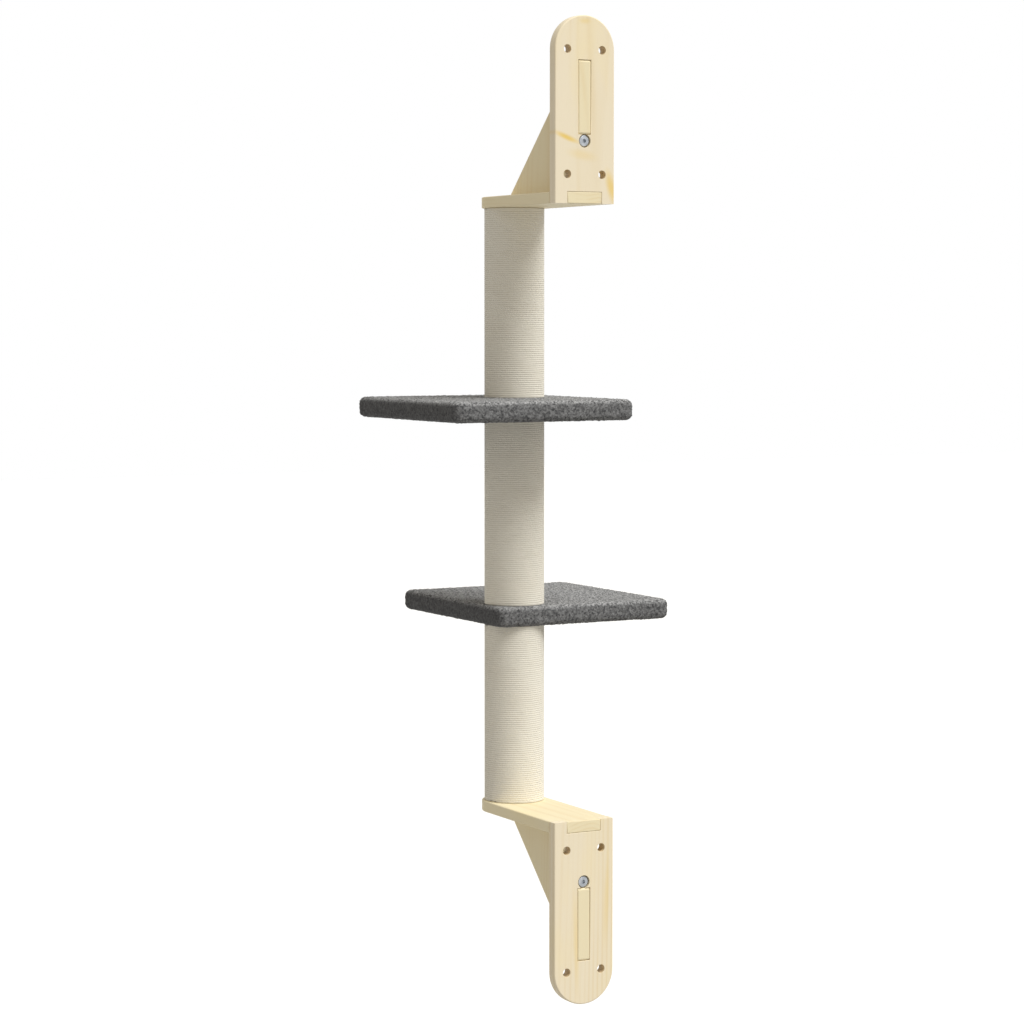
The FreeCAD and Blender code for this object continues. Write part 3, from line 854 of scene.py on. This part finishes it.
class CATTREE_OT_stage(bpy.types.Operator):
    """Pale floor, soft lamps, white surroundings and the camera"""

    bl_idname = "cattree.stage"
    bl_label = "Stage"

    def execute(self, context):
        self.make_floor(context.scene.cat_tree_stage)
        self.make_world(context.scene.cat_tree_stage)
        self.make_lamps(context.scene.cat_tree_stage)
        self.make_camera()
        context.scene.view_settings.view_transform = "Standard"
        return {"FINISHED"}

    def seen(self, finish):
        """1 for rays that come from the camera, past any gloss or glass, else 0."""
        camera, glossy, through = [
            finish.add("ShaderNodeLightPath", output=f"Is {ray} Ray")
            for ray in ("Camera", "Glossy", "Transmission")]
        return camera + glossy + through

    def make_floor(self, stage):
        """Floor that looks white and keeps the tree's shadow, but throws back
        only half of the light, so that the undersides stay in shade."""
        level = CAD_BOX[0].z - stage.floor_drop
        bpy.ops.mesh.primitive_plane_add(size=40, location=(0, 0, level))
        floor = bpy.context.object
        floor.name = "floor"
        settle(floor)
        finish = Finish(bpy.data.materials.new("pale_floor"))
        grit = finish.noise(finish.place(), 40.0, 3.0)
        pale = finish.mix(colour(250, 250, 250), colour(247, 247, 247), grit)
        floor.data.materials.append(finish.set(
            Base_Color=finish.mix(colour(174, 174, 174), pale, self.seen(finish)),
            Roughness=0.9,
            Specular_IOR_Level=0.0))

    def make_world(self, stage):
        """Even light from all round, seen as plain white."""
        world = bpy.data.worlds.new("white_room")
        bpy.context.scene.world = world
        finish = Finish(world, "World Output")
        warm, white = (1.0, 0.95, 0.87, 1.0), (1.0, 1.0, 1.0, 1.0)
        light, backdrop = [
            finish.add("ShaderNodeBackground", None, {"Color": tint, "Strength": strength})
            for tint, strength in ((warm, stage.room), (white, 1.0))]
        both = finish.add("ShaderNodeMixShader", None, [self.seen(finish), light, backdrop])
        finish.link(both, finish.out.inputs["Surface"])

    def make_lamps(self, stage):
        """A broad high lamp on the wall's side, and a weak one beside the tree."""
        key_way, side_way = Vector((-0.262, 0.496, 0.828)), Vector((-0.94, 0.30, 0.15))
        for name, way, strength, spread, tint in (
                ("key_lamp", key_way, stage.key, stage.key_spread, (0.99, 1.0, 1.0)),
                ("side_lamp", side_way, stage.fill, 1.0, (1.0, 0.99, 0.97))):
            bpy.ops.object.light_add(type="SUN", location=way * 3,
                                     rotation=way.to_track_quat("Z", "Y").to_euler())
            lamp = bpy.context.object
            lamp.name = name
            lamp.data.energy = strength
            lamp.data.angle = spread
            lamp.data.color = tint

    def make_camera(self):
        """Camera on the wall's side of the tree, turned to look along its own yaw and
        pitch. The shift lowers the picture's middle, as if it were cropped."""
        yaw, pitch = math.radians(28.36), math.radians(2.75)
        place = Vector((1.8589, 3.2440, -0.2640))
        ahead = Vector((-math.sin(yaw) * math.cos(pitch),
                        -math.cos(yaw) * math.cos(pitch),
                        -math.sin(pitch)))
        bpy.ops.object.camera_add(
            location=place, rotation=ahead.to_track_quat("-Z", "Y").to_euler())
        camera = bpy.context.object
        camera.name = "photo_camera"
        picture, focal_pixels, shift_pixels = 1024, 2856.16, -60
        camera.data.sensor_width = 36.0
        camera.data.lens = 36.0 * focal_pixels / picture
        camera.data.shift_y = shift_pixels / picture
        camera.data.clip_start, camera.data.clip_end = 0.05, 60
        camera.data.dof.use_dof = False
        bpy.context.scene.camera = camera


class CATTREE_PT_panel(bpy.types.Panel):
    """Builds the pieces of the tree, and shows their sizes and colours"""

    bl_label = "Cat tree"
    bl_idname = "CATTREE_PT_panel"
    bl_space_type = "VIEW_3D"
    bl_region_type = "UI"
    bl_category = "Cat tree"

    def draw(self, context):
        for operator in OPERATORS:
            self.layout.operator(operator.bl_idname)
        for name, group in GROUPS.items():
            settings = getattr(context.scene, name)
            box = self.layout.box()
            for field in group.__annotations__:
                box.prop(settings, field)


GROUPS = {
    "cat_tree_pine": PineSettings,
    "cat_tree_rope": RopeSettings,
    "cat_tree_carpet": CarpetSettings,
    "cat_tree_steel": SteelSettings,
    "cat_tree_stage": StageSettings,
}

OPERATORS = (
    CATTREE_OT_wall_plates,
    CATTREE_OT_shelves,
    CATTREE_OT_braces,
    CATTREE_OT_bolts,
    CATTREE_OT_post,
    CATTREE_OT_platforms,
    CATTREE_OT_stage,
)


def register():
    for thing in (*GROUPS.values(), *OPERATORS, CATTREE_PT_panel):
        bpy.utils.register_class(thing)
    for name, group in GROUPS.items():
        setattr(bpy.types.Scene, name, bpy.props.PointerProperty(type=group))


def unregister():
    for name in GROUPS:
        delattr(bpy.types.Scene, name)
    for thing in reversed((*GROUPS.values(), *OPERATORS, CATTREE_PT_panel)):
        bpy.utils.unregister_class(thing)


def main():
    register()
    bpy.ops.cattree.wall_plates()
    bpy.ops.cattree.shelves()
    bpy.ops.cattree.braces()
    bpy.ops.cattree.bolts()
    bpy.ops.cattree.post()
    bpy.ops.cattree.platforms()
    bpy.ops.cattree.stage()


if __name__ == "__main__":
    main()
